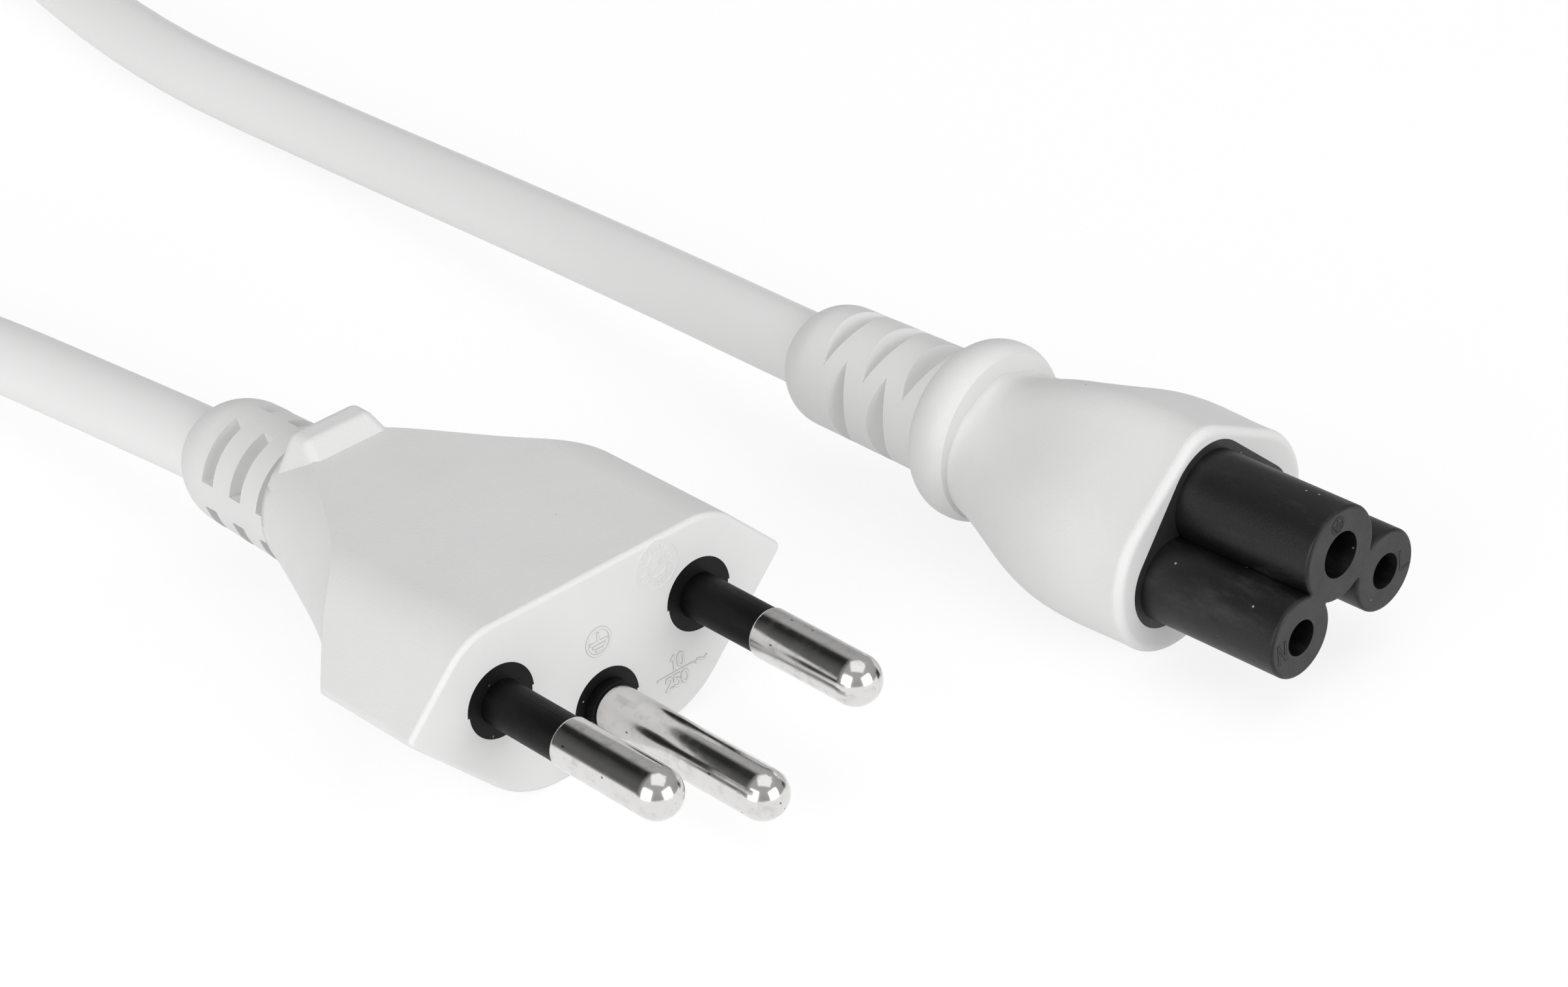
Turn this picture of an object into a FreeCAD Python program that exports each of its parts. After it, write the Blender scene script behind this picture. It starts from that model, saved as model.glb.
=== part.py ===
import FreeCAD
import Part
import math
import os
from FreeCAD import Vector

# Power lead: a flat hexagonal plug with three round pins, a round cord put away as a coil,
# and a clover-leaf connector on the far end. Millimetres.
# Origin on the plug's contact face, midway between the line and neutral pins.
# +X out along the pins, +Y towards the line pin, +Z up. The lead lies on a table.

# Plug pins
pin_spacing = 19.0             # line to neutral
earth_drop = 5.0               # earth pin below the other two
pin_diameter = 4.0
pin_reach = 19.0               # contact face to tip
pin_neck_diameter = 2.9        # metal inside the sleeve
pin_shoulder = 0.3             # rounded rear edge of the bare metal
earth_neck_diameter = 3.6      # metal inside the bridge
earth_shoulder = 0.15
pin_flange_diameter = 4.6      # anchored in the bridge
pin_flange_back = 7.0
pin_flange_front = 4.5
pin_tail_diameter = 3.2
pin_tail_length = 5.5          # behind the bridge
crimp_depth = 5.0
sleeve_diameter = 3.68
sleeve_reach = 7.6             # contact face to the bare metal

# Bridge that carries the pins
boss_upper_radius = 3.08       # the two mould halves differ a little
boss_lower_radius = 2.92
bridge_depth = 8.0
bridge_plate = 4.0
bridge_plate_radius = 3.6
earth_ring_radius = 2.2
earth_ring_reach = 0.9

# Plug body: a hexagonal bar inside a trumpet-shaped flare
body_half_width = 17.75
body_edge_height = 0.4         # side edges above the pins
body_top = 6.55
body_bottom = 9.4
body_top_fall = 0.55           # the top drops this much towards the neck
flank_angle = 45.0
top_round = 5.5
bottom_round = 8.0
side_round = 0.6
face_edge_round = 0.4
wing_depth = 10.5              # full width behind the contact face
waist_depth = 18.8
waist_radius = 11.75
neck_depth = 28.2
neck_radius = 7.7
throat_depth = 32.0
throat_radius = 6.35
flare_lap = 2.1                # flare runs on past the throat
flare_end_radius = 5.7
flare_rise = 0.8               # flare axis above the cord axis
flare_steepening = 1.3

# Strain relief of the plug
relief_front_radius = 5.45
relief_rear_radius = 5.2
relief_length = 15.6           # throat to the end
relief_nose = 4.3              # rounded end
relief_lip = 0.1
slot_lead = 0.9                # end of the flare to the first slots
slot_pitch = 3.4
slot_width = 0.95
slot_depth = 1.5
slot_count = 3
slot_span = 60.0

# Finger stop on top of the neck
stop_front = 28.0
stop_crest_front = 30.1
stop_crest_back = 32.2
stop_back = 33.6
stop_foot_height = 5.6
stop_crest_height = 7.15
stop_foot_half_width = 3.7
stop_crest_half_width = 3.2
stop_root = 3.0                # reaches into the neck
stop_round = 0.9

# Cord and its cores
cord_diameter = 6.2
core_diameter = 2.2
core_gap = 0.2
wire_diameter = 1.1
core_bend = 3.0
core_lead = 2.4                # straight lengths at both ends of a core
jacket_end = 30.0              # sheath ends this far behind the contact face

# Connector: nose, insert and contacts, measured back from the nose's front face
socket_spacing = 9.9
socket_earth_rise = 4.56
lobe_radius = 3.33
lobe_earth_radius = 3.87
socket_radius = 1.45
socket_earth_radius = 1.87
socket_mouth = 4.0
nose_length = 12.5
nose_edge_round = 0.3
insert_margin = 0.7
insert_depth = 22.0
contact_wall = 0.5
contact_pinch = 0.2            # contact bore narrower than the mouth
contact_float = 0.3            # room in front of the contact
contact_depth = 14.5
contact_slit = 0.4
contact_tail_radius = 1.3
contact_tail_end = 25.0

# Connector body sections: depth, lower half span, lower height, lower radius, top height, top radius
body_sections = [
    (12.5, 3.95, 0.30, 6.92, 7.06, 3.39),
    (17.0, 3.95, 0.30, 6.92, 7.00, 3.42),
    (21.0, 3.90, 0.30, 6.88, 6.85, 3.45),
    (24.5, 3.30, 0.15, 6.65, 6.10, 3.55),
    (27.6, 2.60, 0.05, 6.10, 5.00, 3.70),
    (31.0, 1.50, 0.40, 5.73, 3.50, 3.90),
    (35.5, 0.70, 0.70, 5.40, 2.40, 4.60),
]
rim_round = 0.7
connector_axis = 1.35          # cord axis above the line and neutral sockets
collar_front = 33.7
collar_crest_front = 35.1
collar_crest_back = 35.4
collar_back = 38.3
collar_radius = 7.38
collar_face_radius = 6.9
tail_length = 54.0
tail_front_radius = 5.25
tail_rear_radius = 5.05
tail_nose = 3.4
tail_slot_first = 40.8
tail_slot_pitch = 4.4
tail_side_slot_lag = 1.8       # side slots lie between the top and bottom ones
tail_slot_count = 3
tail_slot_width = 1.45
tail_slot_span = 96.0
connector_jacket_end = 38.0
connector_straight = 52.0      # cord is straight up to here
connector_forward = 33.6
connector_aside = 43.0
connector_height = 6.69        # sockets above the table
connector_yaw = 3.16
connector_pitch = 1.38
connector_roll = 5.12

# Coil of the spare cord, lying on the table
coil_centre_x = -196.0
coil_centre_y = 5.0
coil_inner_turn = 27.0
coil_layer_turns = 3.05
coil_stub = 29.0               # straight ends beside the turns
tie_width = 9.0
tie_thickness = 0.8
tie_round = 2.6

# Cord on the table: bends measured behind the contact face, aside and above the table
plug_cord_straight = 43.0      # cord is straight up to here
plug_cord_bends = [(63, 0, 6.2), (86, -0.4, 4.4), (104, -4.5, 3.9), (120, -18, 5.0), (134, -33, 7.6)]
plug_cord_coil_lead = 17.0     # straight run before the coil
connector_cord_coil_lead = 15.0
connector_cord_bends = [(122, 45.3, 3.1), (92, 45.2, 3.6), (64, 43.7, 5.7), (40, 41.7, 7.8)]
arc_share = 0.45               # share of a run that each arc takes

# Worked-out places
pin_radius = pin_diameter / 2
cord_radius = cord_diameter / 2
table = -body_bottom
axis_height = (body_top - body_bottom) / 2
pin_tail_end = bridge_depth + pin_tail_length
flare_end = throat_depth + flare_lap
relief_end = throat_depth + relief_length
slot_first = flare_end + slot_lead
tail_side_slot_first = tail_slot_first + tail_side_slot_lag
line_at = Vector(0, pin_spacing / 2, 0)
neutral_at = Vector(0, -pin_spacing / 2, 0)
earth_at = Vector(0, 0, -earth_drop)
line_socket = Vector(0, socket_spacing / 2, 0)
neutral_socket = Vector(0, -socket_spacing / 2, 0)
earth_socket = Vector(0, 0, socket_earth_rise)
coil_outer_turn = coil_inner_turn + coil_layer_turns * cord_diameter
lower_layer = table + tie_thickness + cord_radius
upper_layer = lower_layer + cord_diameter
connector_place = FreeCAD.Placement(
    Vector(connector_forward, connector_aside, table + connector_height),
    FreeCAD.Rotation(connector_yaw, connector_pitch, connector_roll),
)
coil_centre = Vector(coil_centre_x, coil_centre_y, 0)
along = Vector(1, 0, 0)
upwards = Vector(0, 0, 1)


# Shared shapes

def polygon_face(points):
    return Part.Face(Part.makePolygon(points + points[:1]))


def line(start, end):
    return Part.LineSegment(start, end).toShape()


def arc(start, middle, end):
    return Part.Arc(start, middle, end).toShape()


# Arc that leaves the crest level and falls to the foot
def falling_arc(crest, foot):
    drop = crest.z - foot.z
    run = foot.x - crest.x
    radius = (run ** 2 + drop ** 2) / (2 * drop)
    half = math.asin(abs(run) / radius) / 2
    reach = math.copysign(radius * math.sin(half), run)
    return arc(crest, crest + Vector(reach, 0, radius * (math.cos(half) - 1)), foot)


def rounded_outline(corners, radii):
    marks = []
    for i, corner in enumerate(corners):
        back = (corners[i - 1] - corner).normalize()
        ahead = (corners[(i + 1) % len(corners)] - corner).normalize()
        half = back.getAngle(ahead) / 2
        setback = radii[i] / math.tan(half)
        inward = (back + ahead).normalize() * (radii[i] / math.sin(half) - radii[i])
        marks.append((corner + back * setback, corner + inward, corner + ahead * setback))
    edges = []
    for i, (start, middle, end) in enumerate(marks):
        edges.append(arc(start, middle, end))
        edges.append(line(end, marks[(i + 1) % len(marks)][0]))
    return Part.Wire(edges)


# Outline drawn tight around circles, given anticlockwise as (y, z, radius)
def wrapped_outline(circles, x):
    normals = []
    for i, (y, z, radius) in enumerate(circles):
        next_y, next_z, next_radius = circles[(i + 1) % len(circles)]
        gap = math.hypot(next_y - y, next_z - z)
        lean = math.acos((radius - next_radius) / gap)
        normals.append(math.atan2(next_z - z, next_y - y) - lean)
    edges = []
    for i, (y, z, radius) in enumerate(circles):
        first = normals[i - 1]
        last = normals[i]
        while last < first:
            last += 2 * math.pi
        spots = [
            Vector(x, y + radius * math.cos(a), z + radius * math.sin(a))
            for a in (first, (first + last) / 2, last)
        ]
        edges.append(arc(*spots))
        next_y, next_z, next_radius = circles[(i + 1) % len(circles)]
        landing = Vector(x, next_y + next_radius * math.cos(last), next_z + next_radius * math.sin(last))
        edges.append(line(spots[2], landing))
    return Part.Wire(edges)


def turned(edges, height):
    return Part.Face(Part.Wire(edges)).revolve(Vector(0, 0, height), along, 360)


def tube(start_x, end_x, outer, inner):
    start = Vector(start_x, 0, 0)
    rod = Part.makeCylinder(outer, end_x - start_x, start, along)
    return rod.cut(Part.makeCylinder(inner, end_x - start_x, start, along))


# Straight runs joined by tangent arcs of the given radii
def bent_path(points, radii):
    edges = []
    last = points[0]
    for i, radius in enumerate(radii, start=1):
        back = (points[i - 1] - points[i]).normalize()
        ahead = (points[i + 1] - points[i]).normalize()
        half = back.getAngle(ahead) / 2
        setback = radius / math.tan(half)
        inward = (back + ahead).normalize() * (radius / math.sin(half) - radius)
        edges.append(line(last, points[i] + back * setback))
        last = points[i] + ahead * setback
        edges.append(arc(points[i] + back * setback, points[i] + inward, last))
    edges.append(line(last, points[-1]))
    return Part.Wire(edges)


def swept(path, radius):
    start = path.Edges[0]
    heading = start.tangentAt(start.FirstParameter)
    ring = Part.Wire(Part.makeCircle(radius, path.OrderedVertexes[0].Point, heading))
    return path.makePipeShell([ring], True, False)


# Ring of slots cut into a round strain relief
def ring_slot(middle_x, width, floor, outer, height, span, centre_angle):
    front = middle_x - width / 2
    rear = middle_x + width / 2
    face = polygon_face([
        Vector(front, 0, height + floor),
        Vector(rear, 0, height + floor),
        Vector(rear, 0, height + outer),
        Vector(front, 0, height + outer),
    ])
    pivot = Vector(0, 0, height)
    face.rotate(pivot, along, centre_angle - 90 - span / 2)
    return face.revolve(pivot, along, span)


# Pins, sleeves and bridge

def pin(neck_radius, neck_end, shoulder):
    crimp_radius = wire_diameter / 2
    tail_radius = pin_tail_diameter / 2
    flange_radius = pin_flange_diameter / 2
    dome_start = pin_reach - pin_radius
    outline = [
        Vector(pin_reach, 0, 0),
        Vector(crimp_depth - pin_tail_end, 0, 0),
        Vector(crimp_depth - pin_tail_end, 0, crimp_radius),
        Vector(-pin_tail_end, 0, crimp_radius),
        Vector(-pin_tail_end, 0, tail_radius),
        Vector(-pin_flange_back, 0, tail_radius),
        Vector(-pin_flange_back, 0, flange_radius),
        Vector(-pin_flange_front, 0, flange_radius),
        Vector(-pin_flange_front, 0, neck_radius),
        Vector(neck_end, 0, neck_radius),
        Vector(neck_end, 0, pin_radius - shoulder),
    ]
    metal_start = Vector(neck_end + shoulder, 0, pin_radius)
    metal_end = Vector(dome_start, 0, pin_radius)
    edges = [line(a, b) for a, b in zip(outline, outline[1:])]
    edges.append(falling_arc(metal_start, outline[-1]))
    edges.append(line(metal_start, metal_end))
    edges.append(falling_arc(metal_end, outline[0]))
    return turned(edges, 0)


def live_pin(at):
    return pin(pin_neck_diameter / 2, sleeve_reach, pin_shoulder).translated(at)


def earth_pin():
    return pin(earth_neck_diameter / 2, earth_ring_reach, earth_shoulder).translated(earth_at)


def sleeve(at):
    return tube(-pin_flange_front, sleeve_reach, sleeve_diameter / 2, pin_neck_diameter / 2).translated(at)


def boss(at):
    base = at + Vector(-bridge_depth, 0, 0)
    lower = Part.makeCylinder(boss_lower_radius, bridge_depth, base, along)
    upper = Part.makeCylinder(boss_upper_radius, bridge_depth, base, along)
    block = Part.makeBox(bridge_depth, 2 * boss_upper_radius, boss_upper_radius)
    block.translate(base - Vector(0, boss_upper_radius, 0))
    return lower.fuse(upper.common(block))


def pin_bridge(pieces_inside):
    plate_circles = [
        (earth_at.y, earth_at.z, bridge_plate_radius),
        (line_at.y, line_at.z, bridge_plate_radius),
        (neutral_at.y, neutral_at.z, bridge_plate_radius),
    ]
    plate = Part.Face(wrapped_outline(plate_circles, -bridge_depth)).extrude(along * bridge_plate)
    ring = Part.makeCylinder(earth_ring_radius, bridge_plate + earth_ring_reach,
                             earth_at - along * bridge_plate, along)
    bridge = plate.fuse([boss(at) for at in (line_at, neutral_at, earth_at)] + [ring])
    return bridge.removeSplitter().cut(pieces_inside)


# Plug body

def hexagon(x, top):
    lean = math.radians(flank_angle)
    sharp_half = body_half_width + side_round * (1 / math.cos(lean) - 1)
    top_half = sharp_half - (top - body_edge_height) / math.tan(lean)
    bottom_half = sharp_half - (body_bottom + body_edge_height) / math.tan(lean)
    corners = [
        Vector(x, sharp_half, body_edge_height),
        Vector(x, top_half, top),
        Vector(x, -top_half, top),
        Vector(x, -sharp_half, body_edge_height),
        Vector(x, -bottom_half, -body_bottom),
        Vector(x, bottom_half, -body_bottom),
    ]
    radii = [side_round, top_round, top_round, side_round, bottom_round, bottom_round]
    return rounded_outline(corners, radii)


def flare():
    axis = axis_height + flare_rise
    wing_radius = math.hypot(body_half_width, body_edge_height - axis)
    spread = (wing_radius - waist_radius) / (waist_depth - wing_depth)

    def at(depth, radius):
        return Vector(-depth, 0, axis + radius)

    front = at(0, wing_radius + wing_depth * flare_steepening * spread)
    end = at(flare_end, flare_end_radius)
    curve = Part.BSplineCurve()
    curve.interpolate([
        end,
        at(throat_depth, throat_radius),
        at(neck_depth, neck_radius),
        at(waist_depth, waist_radius),
        at(wing_depth, wing_radius),
        front,
    ])
    return turned([
        curve.toShape(),
        line(front, at(0, 0)),
        line(at(0, 0), at(flare_end, 0)),
        line(at(flare_end, 0), end),
    ], axis)


def relief():
    def at(depth, radius):
        return Vector(-depth, 0, axis_height + radius)

    nose_start = at(relief_end - relief_nose, relief_rear_radius)
    nose_end = at(relief_end, cord_radius + relief_lip)
    root = at(throat_depth, relief_front_radius)
    return turned([
        line(root, at(throat_depth, 0)),
        line(at(throat_depth, 0), at(relief_end, 0)),
        line(at(relief_end, 0), nose_end),
        falling_arc(nose_start, nose_end),
        line(nose_start, root),
    ], axis_height)


def finger_stop():
    half = stop_foot_half_width + stop_root
    root = stop_foot_height - stop_root
    rise = stop_crest_height - stop_foot_height
    front_root = stop_front - stop_root * (stop_crest_front - stop_front) / rise
    side = polygon_face([
        Vector(-front_root, -half, root),
        Vector(-stop_crest_front, -half, stop_crest_height),
        Vector(-stop_crest_back, -half, stop_crest_height),
        Vector(-stop_back, -half, root),
    ])
    root_half = stop_foot_half_width + (stop_foot_half_width - stop_crest_half_width) / rise * stop_root
    end = polygon_face([
        Vector(-stop_back, root_half, root),
        Vector(-stop_back, stop_crest_half_width, stop_crest_height),
        Vector(-stop_back, -stop_crest_half_width, stop_crest_height),
        Vector(-stop_back, -root_half, root),
    ])
    block = side.extrude(Vector(0, 2 * half, 0)).common(end.extrude(along * (stop_back - front_root)))
    crest = [e for e in block.Edges if e.BoundBox.ZMax > stop_crest_height - 0.01]
    return block.makeFillet(stop_round, crest)


def plug_slots():
    slots = []
    for ring in range(slot_count):
        depth = slot_first + ring * slot_pitch
        for quarter in range(4):
            slots.append(ring_slot(-depth, slot_width, relief_front_radius - slot_depth,
                                   relief_front_radius + 1, axis_height, slot_span, 45 + 90 * quarter))
    return slots


def plug_body(pieces_inside):
    rear_top = body_top - body_top_fall * relief_end / neck_depth
    bar = Part.makeLoft([hexagon(0, body_top), hexagon(-relief_end, rear_top)], True, True)
    shell = bar.common(flare())
    rim = [e for e in shell.Edges if e.BoundBox.XMin > -0.01]
    shell = shell.makeFillet(face_edge_round, rim)
    shell = shell.fuse([relief(), finger_stop()]).removeSplitter()
    return shell.cut(plug_slots()).cut(pieces_inside)


# Cores and conductors between the sheath and the metal parts

def core_seat(height, jacket_x, angle):
    spread = (core_diameter + core_gap) / math.sqrt(3)
    turn = math.radians(angle)
    return Vector(jacket_x, spread * math.cos(turn), height + spread * math.sin(turn))


def core_points(seat, end):
    return [seat, seat + along * core_lead, end - along * core_lead, end]


def wire_and_core(seat, end):
    bends = [core_bend, core_bend]
    wire_points = core_points(seat, end)
    wire_points[-1] = end + along * crimp_depth
    wire = swept(bent_path(wire_points, bends), wire_diameter / 2)
    core = swept(bent_path(core_points(seat, end), bends), core_diameter / 2).cut(wire)
    return wire, core


# Connector, modelled about its own nose and then laid in place

def contact(mouth_radius, at):
    bore = mouth_radius - contact_pinch
    outer = mouth_radius + contact_wall
    crimp_radius = wire_diameter / 2
    floor = -contact_depth + contact_wall
    front = -socket_mouth - contact_float
    outline = [
        Vector(floor, 0, 0),
        Vector(floor, 0, bore),
        Vector(front, 0, bore),
        Vector(front, 0, outer),
        Vector(-contact_depth, 0, outer),
        Vector(-contact_depth, 0, contact_tail_radius),
        Vector(-contact_tail_end, 0, contact_tail_radius),
        Vector(-contact_tail_end, 0, crimp_radius),
        Vector(crimp_depth - contact_tail_end, 0, crimp_radius),
        Vector(crimp_depth - contact_tail_end, 0, 0),
    ]
    edges = [line(a, b) for a, b in zip(outline, outline[1:] + outline[:1])]
    slit = Part.makeBox(front - floor, contact_slit, 2 * outer)
    slit.translate(Vector(floor, -contact_slit / 2, 0))
    return turned(edges, 0).cut(slit).translated(at)


def lobes():
    return [
        (earth_socket, lobe_earth_radius, socket_earth_radius),
        (neutral_socket, lobe_radius, socket_radius),
        (line_socket, lobe_radius, socket_radius),
    ]


def insert_block():
    circles = [(at.y, at.z, radius + insert_margin) for at, radius, _ in lobes()]
    block = Part.Face(wrapped_outline(circles, -insert_depth)).extrude(along * (insert_depth - nose_length))
    base = Vector(-nose_length - insert_margin, 0, 0)
    fingers = [Part.makeCylinder(radius, nose_length + insert_margin, base + at, along)
               for at, radius, _ in lobes()]
    nose = fingers[0].fuse(fingers[1:]).removeSplitter()
    rim = [e for e in nose.Edges if e.BoundBox.XMin > -0.01]
    return nose.makeFillet(nose_edge_round, rim).fuse(block).removeSplitter()


def connector_insert(block, contacts_and_wires):
    hollows = []
    for at, _, mouth in lobes():
        hollows.append(Part.makeCylinder(mouth, socket_mouth, at - along * socket_mouth, along))
        hollows.append(Part.makeCylinder(mouth + contact_wall, contact_depth - socket_mouth,
                                         at - along * contact_depth, along))
    return block.cut(hollows).cut(contacts_and_wires)


def connector_tail():
    def at(depth, radius):
        return Vector(-depth, 0, connector_axis + radius)

    nose_start = at(tail_length - tail_nose, tail_rear_radius)
    nose_end = at(tail_length, cord_radius + relief_lip)
    collar_foot = at(collar_back, tail_front_radius)
    collar_face = at(collar_front, collar_face_radius)
    crest_back = at(collar_crest_back, collar_radius)
    crest_front = at(collar_crest_front, collar_radius)
    return turned([
        line(at(collar_front, 0), at(tail_length, 0)),
        line(at(tail_length, 0), nose_end),
        falling_arc(nose_start, nose_end),
        line(nose_start, collar_foot),
        falling_arc(crest_back, collar_foot),
        line(crest_back, crest_front),
        falling_arc(crest_front, collar_face),
        line(collar_face, at(collar_front, 0)),
    ], connector_axis)


def connector_slots():
    upright = [(tail_slot_first + i * tail_slot_pitch, (90, 270)) for i in range(tail_slot_count)]
    sideways = [(tail_side_slot_first + i * tail_slot_pitch, (0, 180)) for i in range(tail_slot_count - 1)]
    slots = []
    for depth, angles in upright + sideways:
        for angle in angles:
            slots.append(ring_slot(-depth, tail_slot_width, tail_front_radius - slot_depth,
                                   tail_front_radius + 1, connector_axis, tail_slot_span, angle))
    return slots


def connector_body(pieces_inside):
    rings = []
    for depth, half_span, low, low_radius, top, top_radius in body_sections:
        rings.append(wrapped_outline(
            [(0, top, top_radius), (-half_span, low, low_radius), (half_span, low, low_radius)], -depth))
    hood = Part.makeLoft(rings, True, False)
    front = -body_sections[0][0]
    rim = [e for e in hood.Edges if e.BoundBox.XMin > front - 0.01]
    hood = hood.makeFillet(rim_round, rim)
    shell = hood.fuse(connector_tail()).removeSplitter()
    return shell.cut(connector_slots()).cut(pieces_inside)


# Cord: one route from the plug to the coil and one from the coil to the connector

def table_bends(bends):
    return [Vector(-behind, aside, table + height) for behind, aside, height in bends]


def plug_route():
    coil_entry = Vector(coil_centre_x + coil_stub, coil_centre_y - coil_outer_turn, upper_layer)
    return [
        Vector(-jacket_end, 0, axis_height),
        Vector(-plug_cord_straight, 0, axis_height),
        *table_bends(plug_cord_bends),
        coil_entry + along * plug_cord_coil_lead,
        coil_entry,
    ]


def connector_route():
    coil_exit = Vector(coil_centre_x + coil_stub, coil_centre_y + coil_outer_turn, lower_layer)
    return [
        coil_exit,
        coil_exit + along * connector_cord_coil_lead,
        *table_bends(connector_cord_bends),
        connector_place.multVec(Vector(-connector_straight, 0, connector_axis)),
        connector_place.multVec(Vector(-connector_jacket_end, 0, connector_axis)),
    ]


def cord_radii(points):
    radii = []
    for before, here, after in zip(points, points[1:], points[2:]):
        turn = (here - before).getAngle(after - here)
        shorter = min(here.distanceToPoint(before), after.distanceToPoint(here))
        radii.append(arc_share * shorter / math.tan(turn / 2))
    return radii


def cord_tube(name, points):
    radii = cord_radii(points)
    path = bent_path(points, radii)
    cord = swept(path, cord_radius)
    print(name, "radii", [round(r, 1) for r in radii], "length", round(path.Length, 1),
          "volume ratio", round(cord.Volume / (math.pi * cord_radius ** 2 * path.Length), 4))
    return cord


def coil_section(grow):
    inner = coil_inner_turn - cord_radius - grow
    outer = coil_outer_turn + cord_radius + grow
    low = lower_layer - cord_radius - grow
    high = upper_layer + cord_radius + grow
    corners = [
        coil_centre + Vector(-inner, 0, low),
        coil_centre + Vector(-outer, 0, low),
        coil_centre + Vector(-outer, 0, high),
        coil_centre + Vector(-inner, 0, high),
    ]
    return rounded_outline(corners, [tie_round + grow] * 4)


def cord_coil():
    ring = Part.Face(coil_section(0)).revolve(coil_centre, upwards, 360)
    entry = coil_centre + Vector(0, -coil_outer_turn, upper_layer)
    leaving = coil_centre + Vector(0, coil_outer_turn, lower_layer)
    stubs = [Part.makeCylinder(cord_radius, coil_stub, start, along) for start in (entry, leaving)]
    return ring.fuse(stubs).removeSplitter()


def coil_tie(coil):
    turn = math.degrees(tie_width / (coil_inner_turn + coil_outer_turn) * 2)
    band = Part.Face(coil_section(tie_thickness))
    band.rotate(coil_centre, upwards, -turn / 2)
    return band.revolve(coil_centre, upwards, turn).cut(coil)


def main():
    os.makedirs("parts", exist_ok=True)
    nodes = {
        "line_pin": live_pin(line_at),
        "neutral_pin": live_pin(neutral_at),
        "earth_pin": earth_pin(),
        "line_sleeve": sleeve(line_at),
        "neutral_sleeve": sleeve(neutral_at),
    }
    nodes["pin_bridge"] = pin_bridge(list(nodes.values()))
    tail = Vector(-pin_tail_end, 0, 0)
    for name, at, angle in (("line", line_at, 30), ("neutral", neutral_at, 150), ("earth", earth_at, 270)):
        wire, core = wire_and_core(core_seat(axis_height, -jacket_end, angle), at + tail)
        nodes["plug_" + name + "_wire"] = wire
        nodes["plug_" + name + "_core"] = core
    nodes["plug_cord"] = cord_tube("plug_cord", plug_route())
    nodes["plug_body"] = plug_body(list(nodes.values()))

    inside = {}
    socket_tail = Vector(-contact_tail_end, 0, 0)
    for name, at, mouth, angle in (("line", line_socket, socket_radius, 330),
                                   ("neutral", neutral_socket, socket_radius, 210),
                                   ("earth", earth_socket, socket_earth_radius, 90)):
        inside["connector_" + name + "_contact"] = contact(mouth, at)
        wire, core = wire_and_core(core_seat(connector_axis, -connector_jacket_end, angle), at + socket_tail)
        inside["connector_" + name + "_wire"] = wire
        inside["connector_" + name + "_core"] = core
    block = insert_block()
    body = connector_body([block] + list(inside.values()))
    inside["connector_insert"] = connector_insert(block, list(inside.values()))
    matrix = connector_place.toMatrix()
    for name, shape in inside.items():
        nodes[name] = shape.transformed(matrix, True)
    nodes["connector_cord"] = cord_tube("connector_cord", connector_route())
    nodes["connector_body"] = body.transformed(matrix, True).cut(nodes["connector_cord"])

    nodes["cord_coil"] = cord_coil()
    nodes["coil_tie"] = coil_tie(nodes["cord_coil"])
    for name, shape in nodes.items():
        shape.exportStep("parts/" + name + ".step")
        box = shape.BoundBox
        print(name, len(shape.Solids), shape.isValid(), round(shape.Volume, 1),
              [round(v, 2) for v in (box.XMin, box.YMin, box.ZMin, box.XMax, box.YMax, box.ZMax)])


main()
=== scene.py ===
import bpy
import bmesh
import math
from itertools import cycle
from mathutils import Matrix, Vector


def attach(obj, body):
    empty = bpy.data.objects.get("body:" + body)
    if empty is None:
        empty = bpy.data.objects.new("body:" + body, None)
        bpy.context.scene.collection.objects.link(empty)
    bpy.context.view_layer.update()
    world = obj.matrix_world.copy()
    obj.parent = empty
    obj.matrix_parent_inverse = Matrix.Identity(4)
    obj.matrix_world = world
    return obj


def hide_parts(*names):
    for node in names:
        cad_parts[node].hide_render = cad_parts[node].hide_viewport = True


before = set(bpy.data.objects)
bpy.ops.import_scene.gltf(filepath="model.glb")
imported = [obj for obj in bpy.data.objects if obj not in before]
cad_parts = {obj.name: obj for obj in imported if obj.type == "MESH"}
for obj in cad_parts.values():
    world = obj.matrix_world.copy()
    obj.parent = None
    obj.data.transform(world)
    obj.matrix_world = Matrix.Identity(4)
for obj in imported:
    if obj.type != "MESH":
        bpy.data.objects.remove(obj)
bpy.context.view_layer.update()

mm = 0.001
scene = bpy.context.scene
scene.view_settings.view_transform = "Standard"


# camera where the photograph was taken, millimetres in the part's own frame
shot = {
    "place": (226.764, -172.704, 182.819),
    "right": (0.673982, 0.7355819, -0.0683194),
    "up": (-0.3410206, 0.3918271, 0.8545036),
    "back": (0.6553268, -0.5526218, 0.514933),
    "sensorWidth": 36.0,
    "focalLength": 106.53,
    "nearest": 10.0,
}


def placeCamera():
    data = bpy.data.cameras.new("photoCamera")
    data.sensor_fit = "HORIZONTAL"
    data.sensor_width = shot["sensorWidth"]
    data.lens = shot["focalLength"]
    data.clip_start = shot["nearest"] * mm
    camera = bpy.data.objects.new("photoCamera", data)
    scene.collection.objects.link(camera)
    axes = Matrix((shot["right"], shot["up"], shot["back"])).transposed().to_4x4()
    camera.matrix_world = Matrix.Translation(Vector(shot["place"]) * mm) @ axes
    scene.camera = camera


placeCamera()
print("camera placed")


# node helpers
noiseSpan = (0.3, 0.7)          # nearly all of a noise lies between these
noiseMiddle = (0.35, 0.65)


def addNode(tree, kind, settings=None, values=None):
    node = tree.nodes.new(kind)
    for key, value in (settings or {}).items():
        setattr(node, key, value)
    for key, value in (values or {}).items():
        node.inputs[key].default_value = value
    return node


# a socket takes another node's output, a colour or a number
def feed(tree, socket, value):
    if isinstance(value, bpy.types.NodeSocket):
        tree.links.new(value, socket)
    elif isinstance(value, tuple):
        socket.default_value = value + (1.0,)
    else:
        socket.default_value = value


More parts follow.
